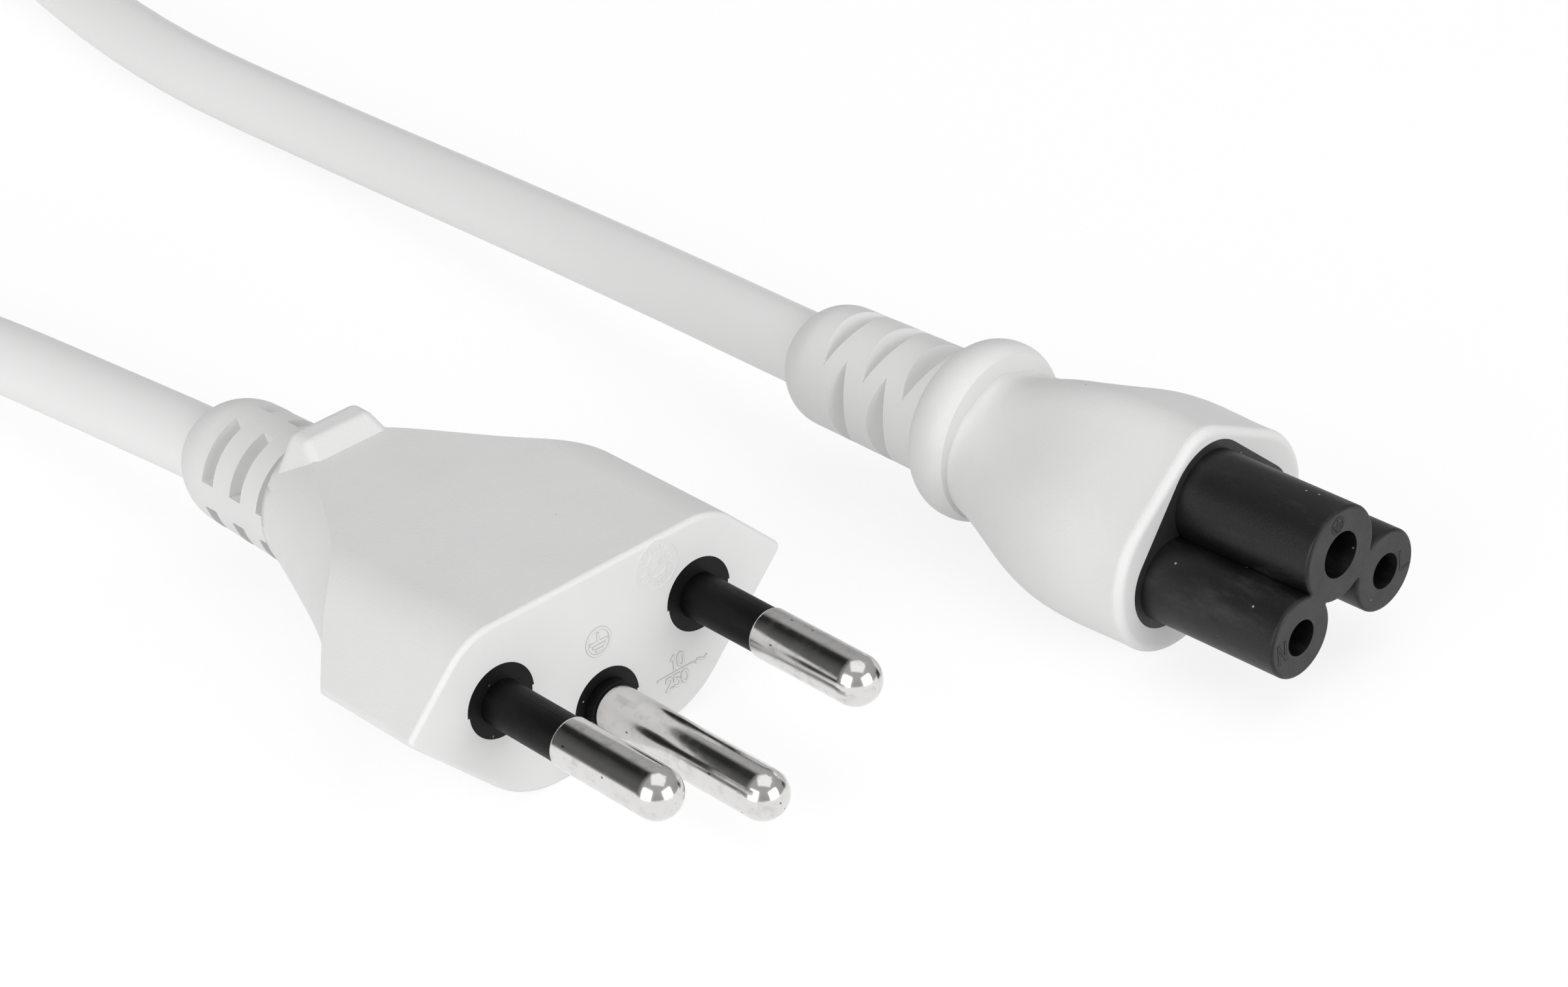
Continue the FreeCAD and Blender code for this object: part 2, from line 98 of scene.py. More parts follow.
def newFinish(name):
    finish = bpy.data.materials.new(name)
    finish.use_nodes = True
    tree = finish.node_tree
    here = addNode(tree, "ShaderNodeTexCoord").outputs["Object"]
    return finish, tree, tree.nodes["Principled BSDF"], here


def noise(tree, source, scale, detail=2.0, rough=0.5):
    node = addNode(tree, "ShaderNodeTexNoise", None,
                   {"Scale": scale, "Detail": detail, "Roughness": rough})
    feed(tree, node.inputs["Vector"], source)
    return node.outputs["Fac"]


def stretched(tree, source, scale):
    node = addNode(tree, "ShaderNodeMapping", None, {"Scale": scale})
    feed(tree, node.inputs["Vector"], source)
    return node.outputs["Vector"]


def spread(tree, source, span, result=(0.0, 1.0)):
    node = addNode(tree, "ShaderNodeMapRange", None,
                   {"From Min": span[0], "From Max": span[1], "To Min": result[0], "To Max": result[1]})
    feed(tree, node.inputs["Value"], source)
    return node.outputs["Result"]


def combine(tree, operation, first, second):
    node = addNode(tree, "ShaderNodeMath", {"operation": operation})
    feed(tree, node.inputs[0], first)
    feed(tree, node.inputs[1], second)
    return node.outputs["Value"]


def blend(tree, amount, first, second):
    node = addNode(tree, "ShaderNodeMix", {"data_type": "RGBA"})
    feed(tree, node.inputs["Factor"], amount)
    feed(tree, node.inputs[6], first)       # 6 and 7 are the two colours
    feed(tree, node.inputs[7], second)
    return node.outputs[2]


def bump(tree, shader, height, strength, depth):
    node = addNode(tree, "ShaderNodeBump", None, {"Distance": depth * mm})
    feed(tree, node.inputs["Strength"], strength)
    feed(tree, node.inputs["Height"], height)
    feed(tree, shader.inputs["Normal"], node.outputs["Normal"])


# sparse round specks: cells per metre, speck size in cells, share of cells that have one
def specks(tree, source, cells, size, share):
    node = addNode(tree, "ShaderNodeTexVoronoi", None, {"Scale": cells})
    feed(tree, node.inputs["Vector"], source)
    near = combine(tree, "LESS_THAN", node.outputs["Distance"], size)
    split = addNode(tree, "ShaderNodeSeparateColor")
    feed(tree, split.inputs["Color"], node.outputs["Color"])
    chosen = combine(tree, "LESS_THAN", split.outputs[0], share)
    return combine(tree, "MULTIPLY", near, chosen)


# how squarely a surface looks along +X, the way the pins point
def facingFront(tree):
    split = addNode(tree, "ShaderNodeSeparateXYZ")
    feed(tree, split.inputs["Vector"], addNode(tree, "ShaderNodeTexCoord").outputs["Normal"])
    return split.outputs["X"]


whiteMoulding = {
    "tone": (0.84, 0.84, 0.835),
    "toneDeep": (0.81, 0.81, 0.805),
    # share of the white tone in the painted shadow under the raised marks
    "paintedShadowShare": 0.64,
    "cloudPerMetre": 90.0,
    "dust": (0.30, 0.30, 0.29),
    "dustSpecks": (230.0, 0.02, 0.25),
    "rough": (0.42, 0.55),
    "gloss": 0.35,
    "grainPerMetre": 3600.0,
    "grainStrength": 0.6,
    "grainDepth": 0.045,
    "polishFrom": (0.8, 0.97),
    "polishedGrain": 0.12,
}


# moulded white plastic: spark-eroded grain on the sides, nearly polished on the contact face; a share
# below 1 darkens it into the painted shadow under raised marks
def whitePlastic(name, share=1.0):
    look = whiteMoulding
    finish, tree, shader, here = newFinish(name)
    light, deep = [tuple(v * share for v in look[kind]) for kind in ("tone", "toneDeep")]
    cloud = noise(tree, here, look["cloudPerMetre"], detail=3.0)
    tone = blend(tree, spread(tree, cloud, noiseMiddle), light, deep)
    dust = specks(tree, here, *look["dustSpecks"])
    feed(tree, shader.inputs["Base Color"], blend(tree, dust, tone, look["dust"]))
    grain = noise(tree, here, look["grainPerMetre"])
    feed(tree, shader.inputs["Roughness"], spread(tree, grain, noiseSpan, look["rough"]))
    polish = spread(tree, facingFront(tree), look["polishFrom"], (1.0, look["polishedGrain"]))
    strength = combine(tree, "MULTIPLY", polish, look["grainStrength"])
    bump(tree, shader, grain, strength, look["grainDepth"])
    shader.inputs["Specular IOR Level"].default_value = look["gloss"]
    return finish


blackMoulding = {
    # side: painted shade on faces turned away from +X; face: painted lighter tone on faces turned to +X;
    # worn: real scuffs
    "nose": {"side": (0.004, 0.004, 0.0042), "worn": (0.026, 0.026, 0.027),
             "face": (0.022, 0.022, 0.0226), "gloss": 0.45},
    "bridge": {"side": (0.002, 0.002, 0.0022), "worn": (0.008, 0.008, 0.0085),
               "face": (0.006, 0.006, 0.0062), "gloss": 0.18},
    "litFrontFrom": (0.9, 0.985),
    "scuffStretch": (0.35, 1.0, 1.0),
    "scuffPerMetre": 420.0,
    "scuffFrom": (0.5, 0.72),
    "dust": (0.32, 0.32, 0.31),
    "dustSpecks": (900.0, 0.085, 0.16),
    "rough": (0.40, 0.58),
    "grainPerMetre": 5200.0,
    "grainStrength": 0.4,
    "grainDepth": 0.03,
}


# moulded black plastic with scuffs and dust; faces turned to +X painted greyer as light, the sides painted
# darker as shade
def blackPlastic(name, kind):
    look, tones = blackMoulding, blackMoulding[kind]
    finish, tree, shader, here = newFinish(name)
    drawn = stretched(tree, here, look["scuffStretch"])
    scuff = noise(tree, drawn, look["scuffPerMetre"], detail=5.0, rough=0.7)
    # painted shade on the sides, with real scuffs mixed in
    side = blend(tree, spread(tree, scuff, look["scuffFrom"]), tones["side"], tones["worn"])
    # faces turned to +X take the painted lighter face tone
    front = spread(tree, facingFront(tree), look["litFrontFrom"])
    tone = blend(tree, front, side, tones["face"])
    dust = specks(tree, here, *look["dustSpecks"])
    feed(tree, shader.inputs["Base Color"], blend(tree, dust, tone, look["dust"]))
    feed(tree, shader.inputs["Roughness"], spread(tree, scuff, noiseSpan, look["rough"]))
    grain = noise(tree, here, look["grainPerMetre"])
    bump(tree, shader, grain, look["grainStrength"], look["grainDepth"])
    shader.inputs["Specular IOR Level"].default_value = tones["gloss"]
    return finish


nickelPlate = {
    "bright": (0.74, 0.73, 0.715),
    "dull": (0.50, 0.49, 0.475),
    "drawLines": (40.0, 2600.0, 2600.0),
    "lineStrength": 0.08,
    "lineDepth": 0.01,
    "wornPerMetre": 900.0,
    "wornFrom": (0.48, 0.75),
    "wornByLine": (0.2, 0.9),
    "mark": (0.20, 0.195, 0.19),
    "markSpecks": (1500.0, 0.13, 0.13),
    "markStretch": (0.6, 1.0, 1.0),
    "rough": (0.15, 0.30),
    "roughFrom": (0.0, 0.8),
}


# plated pins: drawn lengthwise, with a few tiny marks
def nickel(name):
    look = nickelPlate
    finish, tree, shader, here = newFinish(name)
    lines = noise(tree, stretched(tree, here, look["drawLines"]), 1.0, detail=3.0)
    cloud = noise(tree, here, look["wornPerMetre"], detail=4.0, rough=0.65)
    worn = combine(tree, "MULTIPLY", spread(tree, cloud, look["wornFrom"]),
                   spread(tree, lines, noiseMiddle, look["wornByLine"]))
    tone = blend(tree, worn, look["bright"], look["dull"])
    marks = specks(tree, stretched(tree, here, look["markStretch"]), *look["markSpecks"])
    feed(tree, shader.inputs["Base Color"], blend(tree, marks, tone, look["mark"]))
    feed(tree, shader.inputs["Roughness"], spread(tree, worn, look["roughFrom"], look["rough"]))
    shader.inputs["Metallic"].default_value = 1.0
    bump(tree, shader, lines, look["lineStrength"], look["lineDepth"])
    return finish


warmMetals = {
    "brass": {"bright": (0.80, 0.60, 0.28), "dull": (0.60, 0.42, 0.17), "rough": (0.18, 0.34),
              "drawLines": (60.0, 1800.0, 1800.0)},
    "copper": {"bright": (0.86, 0.46, 0.30), "dull": (0.62, 0.28, 0.17), "rough": (0.2, 0.36),
               "drawLines": (80.0, 5200.0, 5200.0)},
    "lineStrength": 0.25,
    "lineDepth": 0.03,
}


# sprung brass contacts and copper strands, seen only where the plastic is opened
def warmMetal(name, kind):
    look = warmMetals[kind]
    finish, tree, shader, here = newFinish(name)
    lines = noise(tree, stretched(tree, here, look["drawLines"]), 1.0, detail=3.0)
    feed(tree, shader.inputs["Base Color"], blend(tree, lines, look["bright"], look["dull"]))
    feed(tree, shader.inputs["Roughness"], spread(tree, lines, noiseSpan, look["rough"]))
    shader.inputs["Metallic"].default_value = 1.0
    bump(tree, shader, lines, warmMetals["lineStrength"], warmMetals["lineDepth"])
    return finish


coreCover = {
    "brown": ((0.17, 0.075, 0.035), (0.13, 0.055, 0.025)),
    "blue": ((0.04, 0.14, 0.48), (0.03, 0.10, 0.38)),
    "green": ((0.78, 0.66, 0.05), (0.06, 0.36, 0.09)),
    "stripes": {"Scale": 120.0, "Distortion": 0.4},
    "stripeEdge": (0.45, 0.55),
    "cloudPerMetre": 700.0,
    "rough": (0.32, 0.46),
    "grainPerMetre": 3000.0,
    "grainStrength": 0.15,
    "grainDepth": 0.02,
}


# core insulation; the earth core is striped yellow and green
def coreSkin(name, kind):
    look = coreCover
    finish, tree, shader, here = newFinish(name)
    if kind == "green":
        stripe = addNode(tree, "ShaderNodeTexWave", {"bands_direction": "DIAGONAL"}, look["stripes"])
        feed(tree, stripe.inputs["Vector"], here)
        amount = spread(tree, stripe.outputs["Fac"], look["stripeEdge"])
    else:
        amount = noise(tree, here, look["cloudPerMetre"], detail=3.0)
    feed(tree, shader.inputs["Base Color"], blend(tree, amount, *look[kind]))
    fine = noise(tree, here, look["grainPerMetre"])
    feed(tree, shader.inputs["Roughness"], spread(tree, fine, noiseSpan, look["rough"]))
    bump(tree, shader, fine, look["grainStrength"], look["grainDepth"])
    return finish


cordSkin = {
    "tone": (0.92, 0.92, 0.915),
    "toneDeep": (0.90, 0.90, 0.895),
    "cloudPerMetre": 60.0,
    "rough": (0.38, 0.5),
    "gloss": 0.35,
    "grainPerMetre": 2600.0,
    "grainStrength": 0.12,
    "grainDepth": 0.02,
}


# smooth white sheath of the cord
def cordSheath(name):
    look = cordSkin
    finish, tree, shader, here = newFinish(name)
    cloud = noise(tree, here, look["cloudPerMetre"], detail=3.0)
    feed(tree, shader.inputs["Base Color"], blend(tree, cloud, look["tone"], look["toneDeep"]))
    fine = noise(tree, here, look["grainPerMetre"])
    feed(tree, shader.inputs["Roughness"], spread(tree, fine, noiseSpan, look["rough"]))
    bump(tree, shader, fine, look["grainStrength"], look["grainDepth"])
    shader.inputs["Specular IOR Level"].default_value = look["gloss"]
    return finish


strapWeave = {
    "thread": (0.05, 0.05, 0.052),
    # gap: painted shade in the hollows between the loops
    "gap": (0.012, 0.012, 0.012),
    "threadsPerMetre": 900.0,
    "loopReach": (0.0, 0.7),
    "rough": (0.95, 0.8),
    "loftStrength": 0.8,
    "loftDepth": 0.25,
    "sheen": 0.3,
}


# looped fabric of the strap round the coil, painted darker in the gaps between loops as shade
def strapFabric(name):
    look = strapWeave
    finish, tree, shader, here = newFinish(name)
    loops = addNode(tree, "ShaderNodeTexVoronoi", None, {"Scale": look["threadsPerMetre"]})
    feed(tree, loops.inputs["Vector"], here)
    loft = spread(tree, loops.outputs["Distance"], look["loopReach"], (1.0, 0.0))
    feed(tree, shader.inputs["Base Color"], blend(tree, loft, look["gap"], look["thread"]))
    feed(tree, shader.inputs["Roughness"], spread(tree, loft, (0.0, 1.0), look["rough"]))
    bump(tree, shader, loft, look["loftStrength"], look["loftDepth"])
    shader.inputs["Sheen Weight"].default_value = look["sheen"]
    return finish


whiteFinish = whitePlastic("whiteMoulding")
# darker copy of the white: the painted shadow round the raised face marks
whiteShadowFinish = whitePlastic("markFoot", whiteMoulding["paintedShadowShare"])
noseFinish = blackPlastic("noseMoulding", "nose")
bridgeFinish = blackPlastic("bridgeMoulding", "bridge")
nickelFinish = nickel("nickelPlate")
brassFinish = warmMetal("contactBrass", "brass")
copperFinish = warmMetal("copperStrands", "copper")
sheathFinish = cordSheath("cordSheath")
strapFinish = strapFabric("strapFabric")
coreFinishes = {
    "line": coreSkin("coreBrown", "brown"),
    "neutral": coreSkin("coreBlue", "blue"),
    "earth": coreSkin("coreGreen", "green"),
}


def dress(node, finish):
    piece = bpy.data.objects[node]
    piece.data.materials.clear()
    piece.data.materials.append(finish)


for node in ("plug_body", "connector_body"):
    dress(node, whiteFinish)
for node in ("pin_bridge", "line_sleeve", "neutral_sleeve"):
    dress(node, bridgeFinish)
dress("connector_insert", noseFinish)
for pole in coreFinishes:
    dress(pole + "_pin", nickelFinish)
    dress("connector_" + pole + "_contact", brassFinish)
    for end in ("plug_", "connector_"):
        dress(end + pole + "_wire", copperFinish)
        dress(end + pole + "_core", coreFinishes[pole])
dress("coil_tie", strapFinish)
print("finishes on the solids")


# cord: the route on the table, with the spare length wound in two layers, millimetres
cordRun = {
    "diameter": 6.2,
    "plugSide": [
        (-30, 0, -1.425), (-43, 0, -1.425), (-63, 0, -3.2), (-86, -0.4, -5.0), (-104, -4.5, -5.5),
        (-120, -18, -4.4), (-134, -33, -1.8), (-150, -40.91, 0.7), (-167, -40.91, 0.7),
    ],
    "connectorSide": [
        (-167, 50.91, -5.5), (-152, 50.91, -5.5), (-122, 45.3, -6.3), (-92, 45.2, -5.8),
        (-64, 43.7, -3.7), (-40, 41.7, -1.6), (-18.27, 40.02, -0.11), (-4.29, 40.79, -0.45),
    ],
    "exit": (-47.6, 0, -1.425),
    "length": 1830.0,
    "stepsPerPoint": 6,
    "roundSteps": 7,
}
coilTurns = {
    "centre": (-196.0, 5.0),
    "inner": 27.0,
    "outer": 45.91,
    "upper": 0.7,
    "lower": -5.5,
    "layerTurns": 3.05,
    "stepTurns": 0.4,
    "pointsPerTurn": 16,
}


# clockwise from above: in along the upper layer, a step down, out along the lower one
def coilPoints():
    perTurn = coilTurns["pointsPerTurn"]
    layer, step = coilTurns["layerTurns"], coilTurns["stepTurns"]
    total = 2 * layer + step
    swell = 1 / math.cos(math.pi / perTurn)     # a curve runs inside its control points
    points = []
    for index in range(round(total * perTurn)):
        turn = (index + 0.5) / perTurn
        fromMiddle = abs(turn - total / 2)
        out = max(0.0, (fromMiddle - step / 2) / layer)
        radius = coilTurns["inner"] + (coilTurns["outer"] - coilTurns["inner"]) * out
        down = min(1.0, max(0.0, (turn - layer) / step))
        height = coilTurns["upper"] + (coilTurns["lower"] - coilTurns["upper"]) * down
        angle = -math.pi / 2 - 2 * math.pi * turn
        points.append((coilTurns["centre"][0] + radius * swell * math.cos(angle),
                       coilTurns["centre"][1] + radius * swell * math.sin(angle), height))
    return points


def makeCord():
    route = cordRun["plugSide"] + coilPoints() + cordRun["connectorSide"]
    curve = bpy.data.curves.new("leadCord", "CURVE")
    curve.dimensions = "3D"
    curve.resolution_u = cordRun["stepsPerPoint"]
    curve.bevel_depth = cordRun["diameter"] / 2 * mm
    curve.bevel_resolution = cordRun["roundSteps"]
    curve.use_fill_caps = True
    spline = curve.splines.new("NURBS")
    spline.points.add(len(route) - 1)
    for point, place in zip(spline.points, route):
        point.co = (place[0] * mm, place[1] * mm, place[2] * mm, 1.0)
    spline.order_u = 3
    spline.use_endpoint_u = True
    spline.use_smooth = True
    cord = bpy.data.objects.new("leadCord", curve)
    scene.collection.objects.link(cord)
    curve.materials.append(sheathFinish)
    return cord


cord = makeCord()
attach(cord, "root")
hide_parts("plug_cord", "cord_coil", "connector_cord")
print("cord laid")


def newPiece(name, mesh, finish):
    piece = bpy.data.objects.new(name, mesh)
    scene.collection.objects.link(piece)
    mesh.materials.append(finish)
    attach(piece, "root")
    return piece


# raised marks are drawn flat in millimetres, then set on a face
markLevels = {
    "count": 4,
    "rise": 0.06,       # strokes that cross differ a little in height, so no two lie in one plane
}


# one prism per flat outline, from below the face to the mark's height
def raisedPiece(name, outlines, fullHeight, marks, finish):
    face, root = marks["face"], marks["root"]
    build = bmesh.new()
    for index, outline in enumerate(outlines):
        height = fullHeight * (1 + markLevels["rise"] * (index % markLevels["count"]))
        low = [build.verts.new(face @ Vector((x * mm, y * mm, -root * mm))) for x, y in outline]
        high = [build.verts.new(face @ Vector((x * mm, y * mm, height * mm))) for x, y in outline]
        build.faces.new(high)
        build.faces.new(list(reversed(low)))
        for i in range(len(outline)):
            j = (i + 1) % len(outline)
            build.faces.new((low[i], low[j], high[j], high[i]))
    bmesh.ops.recalc_face_normals(build, faces=build.faces)
    mesh = bpy.data.meshes.new(name)
    build.to_mesh(mesh)
    build.free()
    return newPiece(name, mesh, finish)


def bar(x0, y0, x1, y1, width):
    along = Vector((x1 - x0, y1 - y0)).normalized() * (width / 2)
    side = Vector((-along.y, along.x))
    first, last = Vector((x0, y0)) - along, Vector((x1, y1)) + along
    return [tuple(first - side), tuple(last - side), tuple(last + side), tuple(first + side)]


def barsAlong(points, width):
    return [bar(*start, *end, width) for start, end in zip(points, points[1:])]


def around(x, y, radius, degrees):
    angle = math.radians(degrees)
    return x + radius * math.cos(angle), y + radius * math.sin(angle)


# thin ring, as short wedges
def ringParts(x, y, radius, width, count=40):
    inner, outer = radius - width / 2, radius + width / 2
    parts = []
    for i in range(count):
        a, b = 360.0 * i / count, 360.0 * (i + 1) / count
        parts.append([around(x, y, inner, a), around(x, y, outer, a),
                      around(x, y, outer, b), around(x, y, inner, b)])
    return parts


# shares of the ring's radius, and of the longest bar
earthShape = {
    "reach": 0.6,
    "stemTop": 0.55,
    "barStep": 0.27,
    "barLengths": (1.0, 0.66, 0.33),
}


# earth sign in a ring
def earthSign(x, y, radius, width):
    parts = ringParts(x, y, radius - width / 2, width)
    reach = radius * earthShape["reach"]
    parts.append(bar(x, y + radius * earthShape["stemTop"], x, y + width / 2, width))
    for step, share in enumerate(earthShape["barLengths"]):
        level = y - step * radius * earthShape["barStep"]
        parts.append(bar(x - reach * share, level, x + reach * share, level, width))
    return parts


# each letter is one run of points, in shares of its width and height
letterRuns = {
    "0": [(0.5, 0.0), (0.2, 0.1), (0.05, 0.3), (0.05, 0.7), (0.2, 0.9), (0.5, 1.0),
          (0.8, 0.9), (0.95, 0.7), (0.95, 0.3), (0.8, 0.1), (0.5, 0.0)],
    "1": [(0.25, 0.78), (0.6, 1.0), (0.6, 0.0)],
    "2": [(0.08, 0.75), (0.2, 0.92), (0.5, 1.0), (0.82, 0.9), (0.9, 0.7), (0.75, 0.48),
          (0.05, 0.0), (0.95, 0.0)],
    "5": [(0.88, 1.0), (0.2, 1.0), (0.12, 0.55), (0.5, 0.64), (0.85, 0.52), (0.93, 0.3),
          (0.78, 0.08), (0.45, 0.0), (0.06, 0.12)],
    "L": [(0.1, 1.0), (0.1, 0.0), (0.85, 0.0)],
    "N": [(0.1, 0.0), (0.1, 1.0), (0.9, 0.0), (0.9, 1.0)],
}


def written(words, x, y, height, width, gap, stroke):
    parts = []
    for i, letter in enumerate(words):
        left = x + i * (width + gap)
        run = [(left + u * width, y + v * height) for u, v in letterRuns[letter]]
        parts += barsAlong(run, stroke)
    return parts


# a mark is a stroke on a slightly wider foot in a darker finish, painted as the stroke's shadow
def markLayers(marks, finish, shadowFinish):
    return (("", 0.0, marks["height"], finish),
            ("Foot", marks["footWider"], marks["footHeight"], shadowFinish))


# contact face of the plug: across is +Y, up is +Z, out is +X
plugFace = Matrix(((0, 0, 1, 0), (1, 0, 0, 0), (0, 1, 0, 0), (0, 0, 0, 1)))
# earth: centre, radius, line; numbers: text, left, foot, height, width, gap; divider: two ends, line
faceMarks = {
    "face": plugFace,
    "slot": "white_plastic",
    "root": 0.05,
    "height": 0.05,
    # footWider and footHeight shape the painted shadow under each mark
    "footWider": 0.1,
    "footHeight": 0.02,
    "stroke": 0.14,
    "earth": (-0.22, 0.61, 1.2, 0.17),
    "upperNumber": ("10", 6.2, -5.08, 1.1, 0.58, 0.14),
    "lowerNumber": ("250", 5.62, -6.64, 0.98, 0.62, 0.16),
    "divider": (4.89, -5.42, 8.35, -5.42, 0.13),
    "wave": [(8.67, -5.5), (8.82, -5.36), (9.0, -5.36), (9.3, -5.52), (9.52, -5.52), (9.69, -5.38)],
}


# each face mark is a white stroke over a wider foot in darker white, painted as its shadow
def faceSigns():
    for part, wider, height, finish in markLayers(faceMarks, whiteFinish, whiteShadowFinish):
        x, y, radius, width = faceMarks["earth"]
        parts = earthSign(x, y, radius + wider / 2, width + wider)
        raisedPiece("faceEarthSign" + part, parts, height, faceMarks, finish)
        stroke = faceMarks["stroke"] + wider
        parts = written(*faceMarks["upperNumber"], stroke) + written(*faceMarks["lowerNumber"], stroke)
        x0, y0, x1, y1, width = faceMarks["divider"]
        parts.append(bar(x0, y0, x1, y1, width + wider))
        parts += barsAlong(faceMarks["wave"], stroke)
        raisedPiece("faceNumbers" + part, parts, height, faceMarks, finish)


dateDial = {
    "centre": (5.86, 4.33),
    "radius": 1.96,
    "innerShare": 0.48,
    "line": 0.08,
    "height": 0.045,
    "ringSteps": (56, 36),
    "ticks": 24,
    "tickStarts": (0.7, 0.62),
    "tickEnd": 0.84,
    "arrow": [((-0.36, -0.42), (0.3, 0.48), 0.16), ((0.3, 0.48), (0.32, 0.06), 0.12),
              ((0.3, 0.48), (-0.1, 0.4), 0.12)],
}


# two rings, with ticks between them and an arrow in the middle
def makeDial():
    x, y = dateDial["centre"]
    radius, line = dateDial["radius"], dateDial["line"]
    parts = []
    for share, count in zip((1.0, dateDial["innerShare"]), dateDial["ringSteps"]):
        parts += ringParts(x, y, radius * share, line, count)
    for i in range(dateDial["ticks"]):
        angle = 360.0 * i / dateDial["ticks"]
        start = around(x, y, dateDial["tickStarts"][i % 2] * radius, angle)
        parts.append(bar(*start, *around(x, y, dateDial["tickEnd"] * radius, angle), line))
    for (x0, y0), (x1, y1), width in dateDial["arrow"]:
        parts.append(bar(x + x0, y + y0, x + x1, y + y1, width))
    raisedPiece("faceDateDial", parts, dateDial["height"], faceMarks, whiteFinish)


gateMark = {
    "centre": (4.22, 0.13),
    "radius": 0.16,
    "height": 0.05,
    "sides": 12,
}


def makeGate():
    sides = gateMark["sides"]
    disc = [around(*gateMark["centre"], gateMark["radius"], 360.0 * i / sides) for i in range(sides)]
    raisedPiece("faceGateMark", [disc], gateMark["height"], faceMarks, whiteFinish)


faceSigns()
makeDial()
makeGate()
print("face marks raised")


# connector nose: its own frame, out along the sockets
noseStand = {
    "place": (33.6, 43.0, -2.71),
    "out": (0.99819, 0.05511, -0.02408),
    "up": (0.0289, -0.0878, 0.9957),
}


def noseFrame():
    out = Vector(noseStand["out"]).normalized()
    right = Vector(noseStand["up"]).cross(out).normalized()
    up = out.cross(right).normalized()
    axes = Matrix((right, up, out)).transposed().to_4x4()
    return Matrix.Translation(Vector(noseStand["place"]) * mm) @ axes


noseFace = noseFrame()
noseMarks = {
    "face": noseFace,
    "slot": "black_plastic",
    "root": 0.04,
    "height": 0.016,
    # the wider foot under each nose mark, in the darker bridge black, is painted shadow
    "footWider": 0.12,
    "footHeight": 0.008,
    "stroke": 0.14,
    "L": ("L", 6.63, -0.97, 1.62, 1.17, 0.0),
    "N": ("N", -7.6, -0.83, 1.53, 0.94, 0.0),
    "earth": (-0.14, 7.27, 0.68, 0.1),
}


# each nose mark: a black stroke over a wider foot of the darker bridge black, painted as its shadow
def nosePieces():
    made = []
    for name, title in (("L", "noseLetterL"), ("N", "noseLetterN"), ("earth", "noseEarthSign")):
        for part, wider, height, finish in markLayers(noseMarks, noseFinish, bridgeFinish):
            if name == "earth":
                x, y, radius, width = noseMarks["earth"]
                parts = earthSign(x, y, radius + wider / 2, width + wider)
            else:
                parts = written(*noseMarks[name], noseMarks["stroke"] + wider)
            made.append(raisedPiece(title + part, parts, height, noseMarks, finish))
    return made


noseLetters = nosePieces()
print("nose marks raised")


# strain reliefs: each body keeps its solid's own surface, and its slotted tail is turned anew
# depths run back from the face, radii from the cord's axis, millimetres and degrees
reliefs = {
    "plug_body": {
        "title": "plugShell", "axis": -1.425, "start": 33.0, "cut": 33.58, "bend": 43.3, "end": 47.6,
        "frontRadius": 5.45, "frontDepth": 32.0, "bendRadius": 5.2,
        "slotDepths": (34.4, 37.95, 41.6), "slotAngles": ((45, 135, 225, 315),),
        "slotWidth": 1.4, "slotSpan": 65.0, "slotFloor": 3.95,
    },
    "connector_body": {
        "title": "connectorShell", "axis": 1.35, "start": 37.6, "cut": 38.28, "bend": 50.6, "end": 54.0,
        "frontRadius": 5.25, "frontDepth": 38.3, "bendRadius": 5.05,
        "slotDepths": (40.05, 42.35, 44.35, 46.65, 48.65), "slotAngles": ((90, 270), (0, 180)),
        "notchApex": 3.3, "notchSteepness": 2.0,
    },
}
reliefMaking = {
    "mouth": 3.2,
    "bore": 3.15,
    "arcSteps": 10,
    "turnSteps": 120,
    "slotLean": 0.02,       # a slot's walls lean by this much
    "leastNotch": 0.03,     # a notch is shut where its half width falls under this
    "edgeClear": 0.5,       # no plain angle comes nearer than this to a slot's end
    "edgeSplit": 0.08,      # a slot's end lies between two angles this far to each side
    "sharpAngle": 32.0,
    "cutSlack": 0.00001,
    "weldReach": 0.001,
}


def reliefRadius(spec, depth):
    share = (depth - spec["frontDepth"]) / (spec["bend"] - spec["frontDepth"])
    return spec["frontRadius"] + (spec["bendRadius"] - spec["frontRadius"]) * share


# one flat slot or pointed notch, at so many degrees off its middle
def slotPoints(spec, depth, off):
    radius = reliefRadius(spec, depth)
    if "slotSpan" in spec:
        half, lean = spec["slotWidth"] / 2, reliefMaking["slotLean"]
        floor = spec["slotFloor"] if off < spec["slotSpan"] / 2 else radius
        return [(depth - half, radius), (depth - half + lean, floor),
                (depth + half - lean, floor), (depth + half, radius)]
    slope = math.cos(math.radians(off))
    half = (radius * slope - spec["notchApex"]) / spec["notchSteepness"]
    floor = spec["notchApex"] / slope if half > reliefMaking["leastNotch"] else radius
    half = max(half, reliefMaking["leastNotch"])
    return [(depth - half, radius), (depth, floor), (depth + half, radius)]


# outline of the tail at one angle: straight, with its cuts, then round to the cord and back in the bore
def reliefSection(spec, angle):
    points = [(spec["start"], reliefRadius(spec, spec["start"]))]
    for depth, centres in zip(spec["slotDepths"], cycle(spec["slotAngles"])):
        off = min(abs((angle - centre + 180) % 360 - 180) for centre in centres)
        points += slotPoints(spec, depth, off)
    run, drop = spec["end"] - spec["bend"], spec["bendRadius"] - reliefMaking["mouth"]
    arc = (run ** 2 + drop ** 2) / (2 * drop)
    full = math.asin(run / arc)
    for step in range(reliefMaking["arcSteps"] + 1):
        turn = full * step / reliefMaking["arcSteps"]
        points.append((spec["bend"] + arc * math.sin(turn),
                       spec["bendRadius"] - arc * (1 - math.cos(turn))))
    return points + [(spec["end"], reliefMaking["bore"]), (spec["start"], reliefMaking["bore"])]


